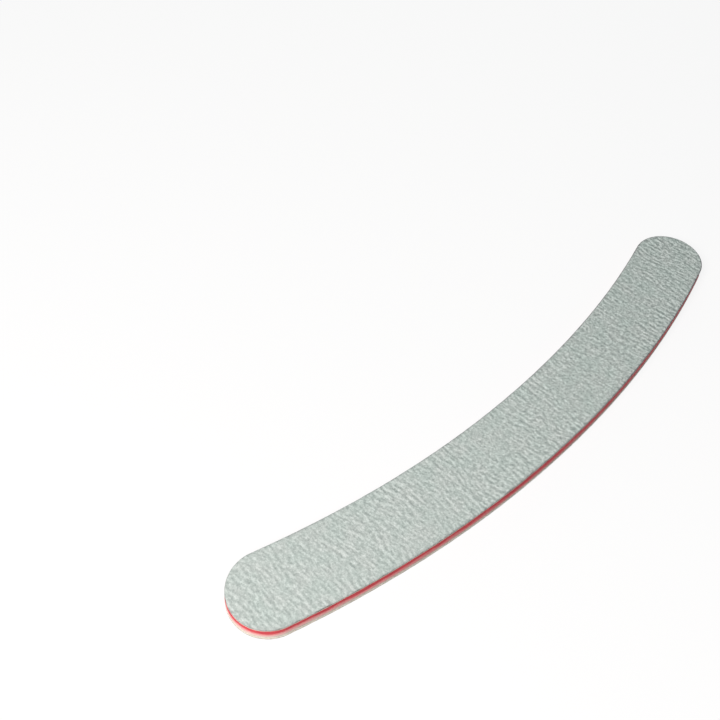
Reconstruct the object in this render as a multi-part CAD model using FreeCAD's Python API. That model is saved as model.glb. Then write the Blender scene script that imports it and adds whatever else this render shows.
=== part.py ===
import FreeCAD, Part
import math
import os

# Emery board: a curved, round-ended strip of sandpaper, glue, red core board and foam, pressed together
# as sheets and then cut out with a blade. The frame's origin is the middle of the underside's bounding box,
# +X runs along the chord and the bulging long edge faces -Y.

# Plan of the board
board_length = 178.5
board_width = 20.0
centreline_radius = 285.0

# Thickness of each kind of layer
grit_thickness = 0.10
bond_thickness = 0.05
paper_thickness = 0.25
adhesive_thickness = 0.10
foam_thickness = 0.80
core_thickness = 2.50

# Cut edge: the blade draws the upper rim down, shears the core straight, then breaks it out wider below
roll_width = 0.80
roll_drop = 0.22
roll_mid_width_share = 0.45
roll_mid_drop_share = 0.20
break_flare = 0.15
break_height = 1.00
film_recess = 0.08
foam_draw_in = 0.16
overrun = 1.00

# Places worked out from the sizes above
half_width = board_width / 2
end_angle = (board_length - board_width) / 2 / centreline_radius
arc_centre_y = centreline_radius * (1 + math.cos(end_angle)) / 2


def plan_point(radius, angle, along, height):
    """Point at a radius and angle on the curved strip, moved along the strip's own direction."""
    x = radius * math.sin(angle) + along * math.cos(angle)
    y = arc_centre_y - radius * math.cos(angle) + along * math.sin(angle)
    return FreeCAD.Vector(x, y, height)


def outline(inset, height):
    """Plan of the board drawn inward by inset: two long concentric arcs and two full round ends."""
    reach = half_width - inset
    bulging = centreline_radius + reach
    hollow = centreline_radius - reach
    turns = [
        (plan_point(bulging, -end_angle, 0, height), plan_point(bulging, 0, 0, height)),
        (plan_point(bulging, end_angle, 0, height), plan_point(centreline_radius, end_angle, reach, height)),
        (plan_point(hollow, end_angle, 0, height), plan_point(hollow, 0, 0, height)),
        (plan_point(hollow, -end_angle, 0, height), plan_point(centreline_radius, -end_angle, -reach, height)),
    ]
    starts = [start for start, middle in turns]
    ends = starts[1:] + starts[:1]
    arcs = [Part.Arc(start, middle, end).toShape() for (start, middle), end in zip(turns, ends)]
    return Part.Wire(arcs)


def straight_cut(inset, low, high):
    """Layer with an upright cut wall."""
    return Part.Face(outline(inset, low)).extrude(FreeCAD.Vector(0, 0, high - low))


def shaped_cut(wall):
    """Layer whose cut wall passes through a list of (inset, height) pairs."""
    return Part.makeLoft([outline(inset, height) for inset, height in wall], True, True)


def rolled_rim(high):
    """Cut wall's upper rim as (inset, height) pairs, from the wall inward to the flat of the sheet."""
    return [
        (break_flare, high - roll_drop),
        (break_flare + roll_width * roll_mid_width_share, high - roll_drop * roll_mid_drop_share),
        (break_flare + roll_width, high),
    ]


def rolled_bed(high):
    """Everything under an upper sheet, carried past the cut wall so that it trims the sheet cleanly."""
    rim, shoulder, flat = rolled_rim(high)
    slope = (shoulder[1] - rim[1]) / (shoulder[0] - rim[0])
    skirt = (rim[0] - overrun, rim[1] - slope * overrun)
    return shaped_cut([(skirt[0], 0), skirt, rim, shoulder, flat])


def rolled_sheet(low, high):
    """Upper sheet of even thickness that follows the drawn-down rim of the layer below it."""
    blank = shaped_cut([(break_flare, low - roll_drop - overrun)] + rolled_rim(high))
    return blank.cut(rolled_bed(low))


def core(low, high):
    """Core board: flared where the blade broke through below, straight above, rolled at its upper rim."""
    return shaped_cut([(0, low), (break_flare, low + break_height)] + rolled_rim(high))


def foam(low, high):
    """Foam layer: its cut wall is drawn in at mid height."""
    wall = [(film_recess, low), (foam_draw_in, (low + high) / 2), (film_recess, high)]
    return shaped_cut(wall)


def lower_sheet(low, high):
    """Lower sheet, cut cleanly on the table side."""
    return straight_cut(0, low, high)


def film(low, high):
    """Glue film below the core, set back a little from the cut edge."""
    return straight_cut(film_recess, low, high)


# The layers from the underside up: node, thickness and how its edge is cut
layers = [
    ("lower_abrasive_grit", grit_thickness, lower_sheet),
    ("lower_bond_coat", bond_thickness, lower_sheet),
    ("lower_backing_paper", paper_thickness, lower_sheet),
    ("lower_adhesive_film", adhesive_thickness, film),
    ("foam_layer", foam_thickness, foam),
    ("foam_adhesive_film", adhesive_thickness, film),
    ("core_board", core_thickness, core),
    ("upper_adhesive_film", adhesive_thickness, rolled_sheet),
    ("upper_backing_paper", paper_thickness, rolled_sheet),
    ("upper_bond_coat", bond_thickness, rolled_sheet),
    ("upper_abrasive_grit", grit_thickness, rolled_sheet),
]

os.makedirs("parts", exist_ok=True)
level = 0
for node, thickness, cut_layer in layers:
    solid = cut_layer(level, level + thickness)
    solid.exportStep(f"parts/{node}.step")
    print(node, round(solid.Volume, 2), solid.isValid(), len(solid.Solids))
    level += thickness
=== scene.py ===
import math
import bmesh
import bpy
import numpy as np
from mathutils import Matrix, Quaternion, Vector


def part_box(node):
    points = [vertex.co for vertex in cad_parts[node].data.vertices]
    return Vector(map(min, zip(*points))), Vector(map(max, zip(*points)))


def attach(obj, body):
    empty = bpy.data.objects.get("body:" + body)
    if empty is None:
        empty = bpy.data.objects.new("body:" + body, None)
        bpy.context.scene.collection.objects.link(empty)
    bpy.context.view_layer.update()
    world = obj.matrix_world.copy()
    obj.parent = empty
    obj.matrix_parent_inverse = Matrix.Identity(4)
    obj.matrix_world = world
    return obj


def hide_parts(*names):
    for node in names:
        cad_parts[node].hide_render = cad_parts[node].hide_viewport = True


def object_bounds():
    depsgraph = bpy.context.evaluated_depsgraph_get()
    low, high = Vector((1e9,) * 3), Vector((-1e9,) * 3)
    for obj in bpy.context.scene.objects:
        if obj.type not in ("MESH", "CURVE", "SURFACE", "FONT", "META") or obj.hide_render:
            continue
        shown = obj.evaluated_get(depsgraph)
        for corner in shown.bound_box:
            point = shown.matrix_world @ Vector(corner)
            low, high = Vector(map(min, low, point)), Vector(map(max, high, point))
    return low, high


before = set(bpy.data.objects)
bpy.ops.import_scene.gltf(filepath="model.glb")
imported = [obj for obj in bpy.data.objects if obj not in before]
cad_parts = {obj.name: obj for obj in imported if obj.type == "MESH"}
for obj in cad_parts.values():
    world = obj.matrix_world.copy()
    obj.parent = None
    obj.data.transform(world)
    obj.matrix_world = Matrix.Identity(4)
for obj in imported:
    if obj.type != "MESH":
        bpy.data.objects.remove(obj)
cad_low, cad_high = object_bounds()


# Core board: a stiff sheet of bright red plastic that everything else is glued to.
# One stroke of a blade cuts out the finished sandwich. It draws the upper rim down, shears the upper part
# of the red wall smooth and breaks the lower part out wider, rougher and paler. Towards the near end that
# broken part is painted almost white, a painted highlight for the strong light on that end.
board_width = 0.020
centreline_radius = 0.285
half_width = board_width / 2
outline_low, outline_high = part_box("lower_backing_paper")
end_angle = math.asin((outline_high.x - half_width) / centreline_radius)
arc_centre_y = centreline_radius * (1 + math.cos(end_angle)) / 2
path_spacing = 0.00024


def cut_path(spacing):
    """Walk round the cut edge, anticlockwise from above. Each step has the point of the centre line that it
    belongs to and the outward direction there, so the outline at any reach from the centre line is
    point + reach * direction: two concentric long arcs and two round ends."""
    long_steps = round(2 * end_angle * centreline_radius / spacing)
    end_steps = round(math.pi * half_width / spacing)
    sweep = np.linspace(-end_angle, end_angle, long_steps, endpoint=False)
    turn = np.linspace(-math.pi / 2, math.pi / 2, end_steps, endpoint=False)
    place = np.concatenate([sweep, np.full(end_steps, end_angle), -sweep, np.full(end_steps, -end_angle)])
    bulging, hollow = np.full(long_steps, -math.pi / 2), np.full(long_steps, math.pi / 2)
    facing = place + np.concatenate([bulging, turn, hollow, turn + math.pi])
    across = arc_centre_y - centreline_radius * np.cos(place)
    point = np.stack([centreline_radius * np.sin(place), across], 1)
    return point, np.stack([np.cos(facing), np.sin(facing)], 1)


path_point, path_direction = cut_path(path_spacing)
path_steps = len(path_point)
middle = np.full((1, path_steps), half_width)


def gaussian_fade(shape, blur):
    """What a gaussian blur leaves of each wave of a field: along each axis
    exp(-2 * (pi * frequency * width) squared)."""
    fade = np.ones(shape)
    for axis, width in enumerate(blur):
        along = np.exp(-2 * (math.pi * np.fft.fftfreq(shape[axis]) * width) ** 2)
        fade *= along.reshape([-1 if k == axis else 1 for k in range(len(shape))])
    return fade


def smooth_noise(shape, blur, seed, broad=None):
    """Random field: white noise blurred by a gaussian, wrapped at its edges and scaled to a spread of 1.
    blur is the gaussian's width along each axis, in samples. Where broad widths are given, the same noise
    blurred by them is taken away, so that no wide patches stay."""
    spectrum = np.fft.fftn(np.random.default_rng(seed).standard_normal(shape))
    fade = gaussian_fade(shape, blur)
    if broad:
        fade -= gaussian_fade(shape, broad)
    field = np.fft.ifftn(spectrum * fade).real
    return field / field.std()


def plan_place(inset):
    """Plan position at an inset from the outline: path point + (half width - inset) * path direction."""
    return path_point + (half_width - inset)[..., None] * path_direction


def cut_layer(node, inset, height, **marks):
    """Closed layer swept round the cut path. A row of inset and height is one step of its profile, from the
    middle of the upper face out to the cut wall, down it and back under the layer to the middle: its plan
    place at that inset, at that height. The middle rows lie doubled on the centre line and are merged
    there. marks are numbers kept on the points for the material."""
    inset, height = np.broadcast_arrays(inset, height, np.empty((1, path_steps)))[:2]
    rows = len(inset)
    corners = np.concatenate([plan_place(inset), height[..., None]], -1).reshape(-1, 3)
    row_start = np.arange(rows - 1)[:, None] * path_steps
    next_start = row_start + path_steps
    here = np.arange(path_steps)
    ahead = np.roll(here, -1)
    loops = [row_start + here, next_start + here, next_start + ahead, row_start + ahead]
    mesh = bpy.data.meshes.new(node)
    mesh.from_pydata(corners.tolist(), [], np.stack(loops, -1).reshape(-1, 4).tolist())
    for name, value in marks.items():
        spread = np.broadcast_to(value, (rows, path_steps)).astype(np.float32)
        mesh.attributes.new(name, "FLOAT", "POINT").data.foreach_set("value", spread.ravel())
    merge_distance, crease_angle = 1e-6, math.radians(40)
    shell = bmesh.new()
    shell.from_mesh(mesh)
    bmesh.ops.remove_doubles(shell, verts=shell.verts, dist=merge_distance)
    shell.to_mesh(mesh)
    shell.free()
    mesh.shade_smooth()
    mesh.set_sharp_from_angle(angle=crease_angle)
    piece = bpy.data.objects.new(node + "_finish", mesh)
    bpy.context.collection.objects.link(piece)
    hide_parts(node)
    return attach(piece, "root")


sheet_low, sheet_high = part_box("upper_backing_paper")
upper_setback = outline_high.x - sheet_high.x
roll_drop = (sheet_high.z - sheet_low.z) - (outline_high.z - outline_low.z)
roll_width = 0.00080
roll_curve_power = 2.6
row_crowding_power = 1.5
roll_rows = upper_setback + roll_width * np.linspace(1, 0, 8) ** row_crowding_power


def rolled(inset):
    """How far the upper rim is drawn down: roll drop * (share of the roll width that is left before the cut
    wall) to a power, and nothing further in."""
    return roll_drop * np.clip(1 - (inset - upper_setback) / roll_width, 0, 1) ** roll_curve_power


def column(values):
    """Profile values as one column, so that they spread along the whole path."""
    return np.asarray(values, float)[:, None]


def drawn_rows(rows, cut):
    """Insets of an upper piece's rows along the path. Where the rim is drawn down, inset = row + cut."""
    return column(rows) + cut * (rolled(column(rows)) > 0)


core_low, core_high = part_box("core_board")
rim_height = core_high.z - roll_drop
blade_wander = 0.000018
blade_chatter = 0.000006
slow_waver = blade_wander * smooth_noise((path_steps,), blur=(60,), seed=11)
quick_waver = blade_chatter * smooth_noise((path_steps,), blur=(1.5,), seed=12)
cut_line = np.abs(slow_waver + quick_waver)[None]

shear_rows = 4
break_rows = 8
break_height = 0.00100
break_height_spread = 0.00018
flare_curve_power = 1.3
torn_depth = 0.000022
torn_onset_power = 0.4
glare_power = 2
sheared_share = column(np.linspace(0, 1, shear_rows + 1)[1:])
broken_share = column(np.linspace(0, 1, break_rows + 1)[1:])
left_share = 1 - broken_share
break_waver = break_height_spread * smooth_noise((path_steps,), blur=(6,), seed=13)
break_start = core_low.z + break_height + break_waver
torn = torn_depth * np.abs(smooth_noise((break_rows, path_steps), blur=(1.2, 2.2), seed=14))
torn = torn * np.sin(math.pi * broken_share)
core_rim = drawn_rows(roll_rows, cut_line)
core_inset = np.concatenate([
    middle,
    core_rim,
    upper_setback + cut_line + 0 * sheared_share,
    upper_setback * left_share ** flare_curve_power + cut_line * left_share + torn,
    middle,
])
core_height = np.concatenate([
    np.full((1, path_steps), core_high.z),
    core_high.z - rolled(core_rim),
    rim_height + (break_start - rim_height) * sheared_share,
    break_start + (core_low.z - break_start) * broken_share,
    np.full((1, path_steps), core_low.z),
])
smooth_rows = np.zeros((1 + len(roll_rows) + shear_rows, 1))
core_torn = np.concatenate([smooth_rows, broken_share ** torn_onset_power, column([1])])
wall_x = plan_place(0 * middle)[..., 0]
# Painted highlight: a share that grows towards the near end, where the light is strongest.
near_glare_share = np.clip(-wall_x / cad_high.x, 0, 1) ** glare_power
core_whitened = np.concatenate([smooth_rows, broken_share, column([1])]) * near_glare_share
core = cut_layer("core_board", core_inset, core_height, torn=core_torn, whitened=core_whitened)


def plain_material(name, roughness=0.5, specular=0.5):
    """New material with only a Principled shader. Gives the material, its nodes, links and shader."""
    material = bpy.data.materials.new(name)
    material.use_nodes = True
    nodes = material.node_tree.nodes
    shader = nodes["Principled BSDF"]
    shader.inputs["Roughness"].default_value = roughness
    shader.inputs["Specular IOR Level"].default_value = specular
    return material, nodes, material.node_tree.links, shader


def noise_value(nodes, links, size, detail, stretch=(1, 1, 1)):
    """Fractal noise on Object coordinates whose lumps are about size across, in metres."""
    where = nodes.new("ShaderNodeTexCoord")
    mapping = nodes.new("ShaderNodeMapping")
    mapping.inputs["Scale"].default_value = stretch
    noise = nodes.new("ShaderNodeTexNoise")
    noise.inputs["Scale"].default_value = 1 / size
    noise.inputs["Detail"].default_value = detail
    links.new(where.outputs["Object"], mapping.inputs["Vector"])
    links.new(mapping.outputs["Vector"], noise.inputs["Vector"])
    return noise.outputs["Fac"]


def ramp(nodes, links, value, *stops):
    """Colour ramp of (position, colour) stops that a value picks from."""
    node = nodes.new("ShaderNodeValToRGB")
    elements = node.color_ramp.elements
    for k, (position, colour) in enumerate(stops):
        element = elements[k] if k < 2 else elements.new(position)
        element.position = position
        element.color = (*colour, 1)
    links.new(value, node.inputs["Fac"])
    return node.outputs["Color"]


def mark(nodes, name):
    """Number kept on the mesh's points under a name."""
    node = nodes.new("ShaderNodeAttribute")
    node.attribute_name = name
    return node.outputs["Fac"]


def feed(links, socket, value):
    """Give a socket a number, a colour or another node's value."""
    if isinstance(value, bpy.types.NodeSocket):
        links.new(value, socket)
    else:
        socket.default_value = value


def blend_colour(nodes, links, share, first, second, mode="MIX"):
    """Two colours mixed by a share: first * (1 - share) + second * share, or the other mode of mixing."""
    mix = nodes.new("ShaderNodeMix")
    mix.data_type = "RGBA"
    mix.blend_type = mode
    for name, value in (("Factor", share), ("A", first), ("B", second)):
        feed(links, mix.inputs[name], value)
    return mix.outputs["Result"]


def bump(nodes, links, shader, height, depth):
    """Fine relief on a shader's normal, depth metres from the lowest to the highest value."""
    node = nodes.new("ShaderNodeBump")
    node.inputs["Distance"].default_value = depth
    node.inputs["Strength"].default_value = 1.0
    links.new(height, node.inputs["Height"])
    links.new(node.outputs["Normal"], shader.inputs["Normal"])


def core_plastic():
    """Red plastic: slightly mottled satin red, paler and rougher where the blade tore it, and towards the
    near end painted almost white there, a painted highlight for the strong light on that end."""
    material, nodes, links, shader = plain_material("core_plastic", roughness=0.62, specular=0.15)
    mottle_size, speck_size, speck_depth = 0.0016, 0.00022, 0.000012
    glare_white = (0.90, 0.66, 0.61, 1)
    mottle = noise_value(nodes, links, mottle_size, detail=3)
    red = ramp(nodes, links, mottle, (0.30, (0.63, 0.062, 0.082)), (0.70, (0.80, 0.092, 0.106)))
    speck = noise_value(nodes, links, speck_size, detail=4)
    pale = ramp(nodes, links, speck, (0.35, (0.72, 0.126, 0.138)), (0.72, (0.84, 0.395, 0.39)))
    colour = blend_colour(nodes, links, mark(nodes, "torn"), red, pale)
    # Painted highlight: the torn part of the wall is blended towards near white at the near end.
    colour = blend_colour(nodes, links, mark(nodes, "whitened"), colour, glare_white)
    links.new(colour, shader.inputs["Base Color"])
    bump(nodes, links, shader, speck, speck_depth)
    return material


core.data.materials.append(core_plastic())


# Glue films: three thin coats of pressure-sensitive glue, one under each sheet of sandpaper or foam.
# They are rolled on before pressing, so they are even, and only a hairline shows at the cut edge.
film_waver = 0.000015
film_cut = cut_line + film_waver * np.abs(smooth_noise((1, path_steps), blur=(0, 5), seed=21))
upper_rows = np.concatenate([[half_width], roll_rows])


def upper_profile(node, cut):
    """Upper sheet of even thickness that follows the drawn-down rim: height = level - roll, out along the
    upper face, then back along the lower one."""
    low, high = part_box(node)
    inset = drawn_rows(upper_rows, cut)
    drop = rolled(inset)
    height = np.concatenate([high.z - drop, low.z + roll_drop - drop[::-1]])
    return np.concatenate([inset, inset[::-1]]), height


def flat_profile(node, cut):
    """Flat sheet with an upright wall at inset = setback + cut: middle, upper rim, lower rim, middle."""
    low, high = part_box(node)
    wall = outline_high.x - high.x + cut
    return np.concatenate([middle, wall, wall, middle]), column([high.z, high.z, low.z, low.z])


def glue_film():
    """Glue: pale, a little yellow, soft and faintly glossy, with small cloudy patches."""
    material, nodes, links, shader = plain_material("glue_film", roughness=0.55, specular=0.2)
    cloud_size = 0.0009
    cloud = noise_value(nodes, links, cloud_size, detail=3)
    colour = ramp(nodes, links, cloud, (0.30, (0.62, 0.56, 0.45)), (0.75, (0.78, 0.73, 0.62)))
    links.new(colour, shader.inputs["Base Color"])
    return material


glue = glue_film()
for node, profile in (
    ("upper_adhesive_film", upper_profile),
    ("foam_adhesive_film", flat_profile),
    ("lower_adhesive_film", flat_profile),
):
    film = cut_layer(node, *profile(node, film_cut))
    film.data.materials.append(glue)


# Foam layer: a thin sheet of cream closed-cell foam glued under the core, so that face gives a little.
# The blade squeezes it as it cuts, so its wall springs back slightly hollow and shows opened cells.
foam_low, foam_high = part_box("foam_layer")
foam_setback = outline_high.x - foam_high.x
foam_hollow = 0.00006
foam_rows = 9
cell_depth = 0.000020
rim_cell_share = 0.08
foam_share = column(np.linspace(0, 1, foam_rows))
cells = cell_depth * np.abs(smooth_noise((foam_rows, path_steps), blur=(0.8, 0.9), seed=31))
cells *= np.sin(math.pi * np.clip(foam_share, rim_cell_share, 1 - rim_cell_share))
foam_wall = foam_setback + cut_line + foam_hollow * np.sin(math.pi * foam_share) + cells
foam_inset = np.concatenate([middle, foam_wall, middle])
foam_levels = foam_high.z + (foam_low.z - foam_high.z) * foam_share
foam_height = np.concatenate([column([foam_high.z]), foam_levels, column([foam_low.z])])
foam = cut_layer("foam_layer", foam_inset, foam_height)


def foam_cells():
    """Closed-cell foam: matt cream, with opened cells as small pits between pale cell walls, darker in the
    pits as painted shade.
    """
    material, nodes, links, shader = plain_material("foam_cells", roughness=0.9, specular=0.1)
    cell_size, cloud_size, pit_depth = 0.00022, 0.0022, 0.00003
    where = nodes.new("ShaderNodeTexCoord")
    cell = nodes.new("ShaderNodeTexVoronoi")
    cell.inputs["Scale"].default_value = 1 / cell_size
    links.new(where.outputs["Object"], cell.inputs["Vector"])
    hollow = cell.outputs["Distance"]
    # Painted shade: the cell pits are coloured darker than the cell walls.
    pit_shade = ramp(nodes, links, hollow, (0.10, (0.56, 0.52, 0.43)), (0.55, (0.84, 0.805, 0.72)))
    cloud = noise_value(nodes, links, cloud_size, detail=2)
    tone = ramp(nodes, links, cloud, (0.3, (0.84, 0.84, 0.82)), (0.7, (1.0, 1.0, 1.0)))
    links.new(blend_colour(nodes, links, 1.0, pit_shade, tone, "MULTIPLY"), shader.inputs["Base Color"])
    bump(nodes, links, shader, hollow, pit_depth)
    return material


foam.data.materials.append(foam_cells())


# Backing papers: the cream paper of each sheet of sandpaper, glued grain side out.
# The upper one is drawn down at its rim by the blade, and both have a slightly fibrous cut edge.
fray_depth = 0.000014
paper_cut = cut_line + fray_depth * np.abs(smooth_noise((1, path_steps), blur=(0, 0.7), seed=41))


def backing_paper():
    """Paper: warm cream with fine fibres that lie along the sheet."""
    material, nodes, links, shader = plain_material("backing_paper", roughness=0.9, specular=0.1)
    fibre_size, fibre_depth = 0.00016, 0.00002
    fibre = noise_value(nodes, links, fibre_size, detail=5, stretch=(0.35, 0.35, 2.0))
    colour = ramp(nodes, links, fibre, (0.30, (0.58, 0.53, 0.43)), (0.72, (0.84, 0.80, 0.71)))
    links.new(colour, shader.inputs["Base Color"])
    bump(nodes, links, shader, fibre, fibre_depth)
    return material


paper = backing_paper()
for node, profile in (("upper_backing_paper", upper_profile), ("lower_backing_paper", flat_profile)):
    sheet = cut_layer(node, *profile(node, paper_cut))
    sheet.data.materials.append(paper)


# Bond coats: the resin that is coated on each paper and holds the grain while it dries.
# At the cut edge it shows only as a thin dark line under the grain.
def bond_resin():
    """Resin: dark grey-brown, slightly glossy, with an uneven tone."""
    material, nodes, links, shader = plain_material("bond_resin")
    cloud_size = 0.0006
    cloud = noise_value(nodes, links, cloud_size, detail=3)
    colour = ramp(nodes, links, cloud, (0.30, (0.105, 0.085, 0.090)), (0.70, (0.20, 0.175, 0.175)))
    links.new(colour, shader.inputs["Base Color"])
    return material


resin = bond_resin()
for node, profile in (("upper_bond_coat", upper_profile), ("lower_bond_coat", flat_profile)):
    coat = cut_layer(node, *profile(node, cut_line))
    coat.data.materials.append(resin)


# Abrasive grit: the working faces, fine grain set in the bond coat and sealed with a pale powdery top coat.
# The top coat dries in short wavy ripples across the sheet, and the blade crushes the grain along the rim,
# where painted shade deepens it. The grain's tone contrast is painted stronger towards the far end, as
# painted shade for the grazing light there.
upper_low, upper_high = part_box("upper_abrasive_grit")
lower_low, lower_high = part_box("lower_abrasive_grit")
grit_depth = lower_high.z - lower_low.z
field_pitch = 0.0001
field_corner = np.array([cad_low.x, cad_low.y])
field_shape = tuple(round(extent / field_pitch) for extent in (cad_high - cad_low)[:2])
face_rings = 38
ripple_sway = 0.00025
ripple_slant = 0.03
ripple_share, furrow_share, grain_share, patch_share = 0.27, 0.38, 0.30, 0.25
sunk_share, relief_share = 0.38, 0.36
painted_contrast_drift = 4.5
chip_depth = 0.00008
chip_reach = 0.00035
chip_threshold, chip_limit = 0.3, 1.5


def look_up(field, plan):
    """Value of a field at plan positions, by straight blending between its four nearest samples. The field
    repeats beyond its edges, where it also joins up."""
    place = (plan - field_corner) / field_pitch
    cell = np.floor(place).astype(int)
    u, v = np.moveaxis(place - cell, -1, 0)
    i, j = np.moveaxis(cell % field_shape, -1, 0)
    next_i, next_j = (i + 1) % field_shape[0], (j + 1) % field_shape[1]
    low = field[i, j] * (1 - v) + field[i, next_j] * v
    high = field[next_i, j] * (1 - v) + field[next_i, next_j] * v
    return low * (1 - u) + high * u


def sandpaper_relief(plan, seed):
    """Ripples, furrows and grain, from about -1 in the furrows to 1 on the crests. Ripples and furrows are
    noise blurred further along Y than along X, less a broader blur of the same noise. They are looked up
    through a slow sideways sway and a slight slant, and are stronger in some patches than in others.
    Furrows are the longer of the two. Grain is fine even noise on top. The weighted sum of all three is
    rounded off by tanh."""
    sway = ripple_sway * look_up(smooth_noise(field_shape, blur=(30, 22), seed=seed + 1), plan)
    swayed = plan + np.stack([sway + ripple_slant * plan[..., 1], 0 * sway], -1)
    ripples = look_up(smooth_noise(field_shape, blur=(1.7, 3.2), seed=seed, broad=(5.0, 9.0)), swayed)
    furrows = look_up(smooth_noise(field_shape, blur=(2.3, 7.0), seed=seed + 5, broad=(5.0, 7.0)), swayed)
    patches = 1 + patch_share * look_up(smooth_noise(field_shape, blur=(35, 35), seed=seed + 2), plan)
    grain = look_up(smooth_noise(field_shape, blur=(1.2, 1.6), seed=seed + 3, broad=(5.0, 5.0)), plan)
    waves = ripple_share * ripples + furrow_share * furrows
    return np.tanh(waves * patches + grain_share * grain)


def unrolled(inset):
    """No draw-down: the lower face stays flat out to its rim."""
    return 0 * inset


def grit_layer(node, rim_rows, back_rows, face_level, back_level, drop, facing, seed):
    """Grain layer: rings over its face out to the rim, then the cut wall and the smooth side on the bond
    coat. Face height = level - drop - depth * (sunk share - relief share * relief), so that only the crests
    come up to the level; facing turns the depth round on the lower face. Along the rim small chips are
    missing, and the rows next to it give way inward by a share that fades over a chip's reach."""
    chips = smooth_noise((1, path_steps), blur=(0, 1.6), seed=seed + 4) - chip_threshold
    give = cut_line + chip_depth * np.clip(chips, 0, chip_limit)

    def chipped(rows):
        """Insets along the path: row + give * share that fades inward from the rim."""
        return column(rows) + give * np.clip(1 - (column(rows) - rim_rows[-1]) / chip_reach, 0, 1)

    face_rows = np.concatenate([np.linspace(half_width, rim_rows[0], face_rings)[:-1], rim_rows])
    face, back = chipped(face_rows), chipped(back_rows[::-1])
    plan = plan_place(face)
    relief = sandpaper_relief(plan, seed)
    sunk = facing * grit_depth * (sunk_share - relief_share * relief)
    inset = np.concatenate([face, back])
    height = np.concatenate([face_level - drop(face) - sunk, back_level - drop(back)])
    rim = column(np.concatenate([face_rows, back_rows[::-1]]) - rim_rows[-1])
    relief = np.concatenate([relief, 0 * back])
    # Painted shade: the coat mark grows from the near end to the far end and scales the grain's tone
    # contrast.
    coat = np.concatenate([1 + painted_contrast_drift * plan[..., 0], 0 * back])
    if facing < 0:
        inset, height, rim, relief, coat = (rows[::-1] for rows in (inset, height, rim, relief, coat))
    return cut_layer(node, inset, height, relief=relief, coat=coat, rim=rim)


lower_rim_width = 0.0006
lower_rim_rows = lower_rim_width * np.linspace(1, 0, 5) ** row_crowding_power
lower_back_rows = np.array([half_width, 0])
upper_back_level = upper_low.z + roll_drop
upper_grit = grit_layer(
    "upper_abrasive_grit", roll_rows, upper_rows, upper_high.z, upper_back_level, rolled,
    facing=1, seed=51,
)
lower_grit = grit_layer(
    "lower_abrasive_grit", lower_rim_rows, lower_back_rows, lower_low.z, lower_high.z, unrolled,
    facing=-1, seed=71,
)


def scaled_sum(nodes, links, value, factor, rest):
    """value * factor + rest, where each is a number or another node's value."""
    node = nodes.new("ShaderNodeMath")
    node.operation = "MULTIPLY_ADD"
    for socket, term in zip(node.inputs, (value, factor, rest)):
        feed(links, socket, term)
    return node.outputs["Value"]


def fading(nodes, links, value, start, end, strength):
    """Straight fall from strength, where the value is at start, to nothing at end."""
    node = nodes.new("ShaderNodeMapRange")
    ends = {"From Min": start, "From Max": end, "To Min": strength, "To Max": 0.0}
    for name, number in ends.items():
        node.inputs[name].default_value = number
    links.new(value, node.inputs["Value"])
    return node.outputs["Result"]


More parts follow.
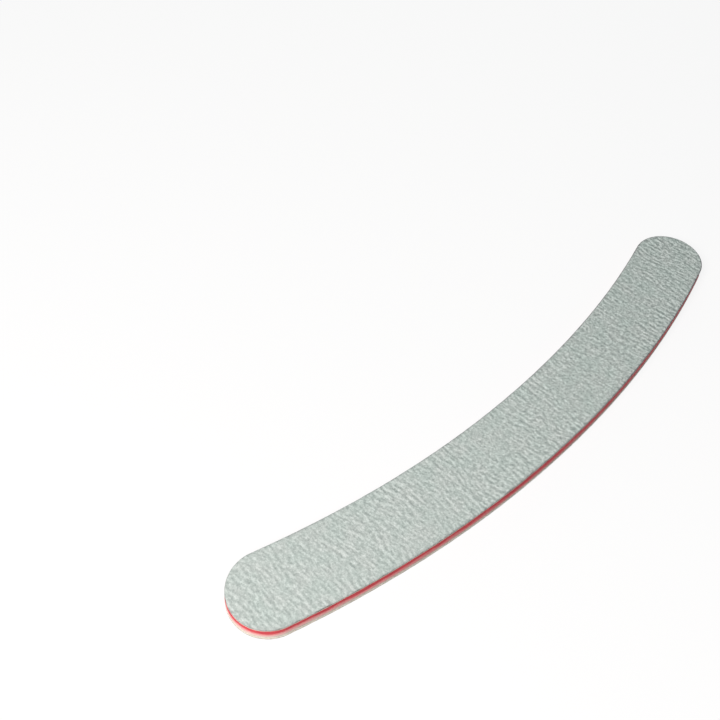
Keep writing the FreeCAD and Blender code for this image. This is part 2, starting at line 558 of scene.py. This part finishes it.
def abrasive_grain():
    """Grain: pale greenish grey, lighter where it stands higher as painted shade in the furrows and a
    painted highlight on the crests, with fine strokes along the ripples and single grains, a few of which
    glint. Near the rim some patches are darker, and along the crushed rim the dark resin shows through,
    deepened by painted shade.
    The tone of the grain and of the darker rim patches is multiplied by the coat mark, painted shade that
    grows towards the far end, and that of the crushed rim by its square."""
    material, nodes, links, shader = plain_material("abrasive_grain", specular=0.3)
    grain_size, grain_relief, glint_size = 0.00032, 0.00003, 0.00009
    cloud_size, patch_size, rim_dark_width = 0.005, 0.009, 0.0009
    ragged_size, ragged_depth, crushed_shade_start, crushed_shade_end = 0.0005, 0.0004, -0.00020, 0.00008
    grain_weight, stroke_weight, relief_weight, even_tone = 0.70, 0.42, 0.24, 0.50
    even_texture = (grain_weight + stroke_weight) / 2
    rim_dark_strength, crushed_shade_strength = 0.28, 0.74
    furrow, slope, crest = (0.265, 0.305, 0.295), (0.470, 0.525, 0.505), (0.725, 0.785, 0.765)
    rim_dark_grey, bared_resin_and_shade = (0.20, 0.205, 0.205, 1), (0.12, 0.10, 0.115, 1)
    coat, rim = mark(nodes, "coat"), mark(nodes, "rim")
    strokes = noise_value(nodes, links, grain_size, detail=2, stretch=(1, 0.50, 1))
    grain = noise_value(nodes, links, grain_size, detail=2)
    texture = scaled_sum(nodes, links, strokes, stroke_weight, -even_texture)
    texture = scaled_sum(nodes, links, grain, grain_weight, texture)
    # Painted shade and highlight: the relief mark darkens the furrows and lightens the crests.
    standing = scaled_sum(nodes, links, mark(nodes, "relief"), relief_weight, texture)
    # Painted shade: the coat mark scales the tone contrast up towards the far end.
    standing = scaled_sum(nodes, links, standing, coat, even_tone)
    ground = ramp(nodes, links, standing, (0.20, furrow), (0.50, slope), (0.80, crest))
    cloud = noise_value(nodes, links, cloud_size, detail=2)
    tint = ramp(nodes, links, cloud, (0.35, (0.94, 0.98, 0.96)), (0.65, (1.0, 1.0, 0.99)))
    colour = blend_colour(nodes, links, 1.0, ground, tint, "MULTIPLY")

    # Darker patches near the rim, their strength scaled by the coat mark's painted shade drift.
    rim_darkening = fading(nodes, links, rim, 0.0, rim_dark_width, rim_dark_strength)
    patch = noise_value(nodes, links, patch_size, detail=1)
    patch = ramp(nodes, links, patch, (0.42, (0.0, 0.0, 0.0)), (0.62, (1.0, 1.0, 1.0)))
    rim_dark_share = blend_colour(nodes, links, rim_darkening, (0, 0, 0, 1), patch)
    rim_dark_share = scaled_sum(nodes, links, rim_dark_share, coat, 0.0)
    colour = blend_colour(nodes, links, rim_dark_share, colour, rim_dark_grey)

    ragged = noise_value(nodes, links, ragged_size, detail=2)
    ragged = scaled_sum(nodes, links, ragged, -ragged_depth, rim)
    # Crushed rim: the bared resin is real, and it is deepened as painted shade, more so towards the far end
    # through the square of the coat mark.
    crushed_and_shade = fading(nodes, links, ragged, crushed_shade_start, crushed_shade_end, crushed_shade_strength)
    crushed_and_shade = scaled_sum(nodes, links, scaled_sum(nodes, links, crushed_and_shade, coat, 0.0), coat, 0.0)
    colour = blend_colour(nodes, links, crushed_and_shade, colour, bared_resin_and_shade)
    links.new(colour, shader.inputs["Base Color"])

    glint = noise_value(nodes, links, glint_size, detail=1)
    glint = ramp(nodes, links, glint, (0.72, (0.9, 0.9, 0.9)), (0.80, (0.5, 0.5, 0.5)))
    links.new(glint, shader.inputs["Roughness"])
    bump(nodes, links, shader, texture, grain_relief)
    return material


grain_material = abrasive_grain()
for grit in (upper_grit, lower_grit):
    grit.data.materials.append(grain_material)


# Floor: a wide matt sheet of pale grey under the board, which throws a little light back on its walls.
# Seen directly it is lifted almost to white by a plain glow, and it keeps the board's soft shadow.
floor_half = 1.5
floor_gap = 0.00002
floor_mesh = bpy.data.meshes.new("floor")
floor_corners = [(x * floor_half, y * floor_half, 0) for x, y in ((-1, -1), (1, -1), (1, 1), (-1, 1))]
floor_mesh.from_pydata(floor_corners, [], [(0, 1, 2, 3)])
floor = bpy.data.objects.new("floor", floor_mesh)
floor.location.z = cad_low.z - floor_gap
bpy.context.collection.objects.link(floor)


def direct_look(nodes, links):
    """1 for what is seen straight, in a reflection or through glass, and 0 for light that is passed on."""
    rays = nodes.new("ShaderNodeLightPath")
    first, second = nodes.new("ShaderNodeMath"), nodes.new("ShaderNodeMath")
    first.operation = second.operation = "MAXIMUM"
    links.new(rays.outputs["Is Camera Ray"], first.inputs[0])
    links.new(rays.outputs["Is Glossy Ray"], first.inputs[1])
    links.new(first.outputs["Value"], second.inputs[0])
    links.new(rays.outputs["Is Transmission Ray"], second.inputs[1])
    return second.outputs["Value"]


def white_floor():
    """Matt grey, with a share of plain white glow mixed in for direct looks only."""
    material = bpy.data.materials.new("white_floor")
    material.use_nodes = True
    nodes, links = material.node_tree.nodes, material.node_tree.links
    nodes.clear()
    matt, glow = nodes.new("ShaderNodeBsdfDiffuse"), nodes.new("ShaderNodeEmission")
    matt.inputs["Color"].default_value = (0.40, 0.40, 0.40, 1)
    glow.inputs["Strength"].default_value = 1.32
    share = nodes.new("ShaderNodeMath")
    share.operation = "MULTIPLY"
    share.inputs[1].default_value = 0.64
    mix, output = nodes.new("ShaderNodeMixShader"), nodes.new("ShaderNodeOutputMaterial")
    links.new(direct_look(nodes, links), share.inputs[0])
    links.new(share.outputs["Value"], mix.inputs["Fac"])
    links.new(matt.outputs["BSDF"], mix.inputs[1])
    links.new(glow.outputs["Emission"], mix.inputs[2])
    links.new(mix.outputs["Shader"], output.inputs["Surface"])
    return material


floor_mesh.materials.append(white_floor())


# Light: one soft, slightly warm lamp above the near end on the left, so close that the far end is dimmer,
# a weak low one behind on the right that only the walls facing away catch, and weak cool light from all
# round. The world looks white where it is seen directly.
world = bpy.data.worlds.new("studio")
bpy.context.scene.world = world
world.use_nodes = True
sky_nodes, sky_links = world.node_tree.nodes, world.node_tree.links
surround, backdrop = sky_nodes["Background"], sky_nodes.new("ShaderNodeBackground")
surround.inputs["Color"].default_value = (0.76, 0.97, 1.0, 1)
surround.inputs["Strength"].default_value = 0.21
backdrop.inputs["Color"].default_value = (1, 1, 1, 1)
sky = sky_nodes.new("ShaderNodeMixShader")
sky_links.new(direct_look(sky_nodes, sky_links), sky.inputs["Fac"])
sky_links.new(surround.outputs["Background"], sky.inputs[1])
sky_links.new(backdrop.outputs["Background"], sky.inputs[2])
sky_links.new(sky.outputs["Shader"], sky_nodes["World Output"].inputs["Surface"])


def aim(thing, place, target):
    """Stand a lamp or camera at a place, turned so that it looks along its -Z at the target."""
    thing.location = place
    thing.rotation_mode = "QUATERNION"
    thing.rotation_quaternion = (Vector(target) - thing.location).to_track_quat("-Z", "Y")
    bpy.context.collection.objects.link(thing)


def soft_lamp(name, size, colour, power, place):
    """Round lamp that shines at the board's middle."""
    data = bpy.data.lights.new(name, "AREA")
    data.shape = "DISK"
    data.size = size
    data.color = colour
    data.energy = power
    aim(bpy.data.objects.new(name, data), place, (0, 0, 0))


main_place = (-0.335, -0.040, 0.360)
fill_place = (0.430, 0.390, 0.080)
soft_lamp("main_lamp", size=0.28, colour=(1.0, 0.915, 0.895), power=2.74, place=main_place)
soft_lamp("fill_lamp", size=0.40, colour=(1.0, 0.970, 0.930), power=0.90, place=fill_place)


# Camera: where the photograph was taken from, close above the board's near end and looking along the board,
# with a moderate lens. It is turned a little about its own axis.
camera_place = (-0.13361, -0.06908, 0.19845)
camera_target = (-0.01785, 0.03899, 0.00440)
camera_roll = math.radians(3.944)
camera_data = bpy.data.cameras.new("camera")
camera_data.sensor_width = 36
camera_data.lens = 46.87
camera_data.clip_start = 0.01
camera = bpy.data.objects.new("camera", camera_data)
aim(camera, camera_place, camera_target)
camera.rotation_quaternion = camera.rotation_quaternion @ Quaternion((0, 0, 1), camera_roll)
bpy.context.scene.camera = camera
bpy.context.scene.view_settings.view_transform = "Standard"
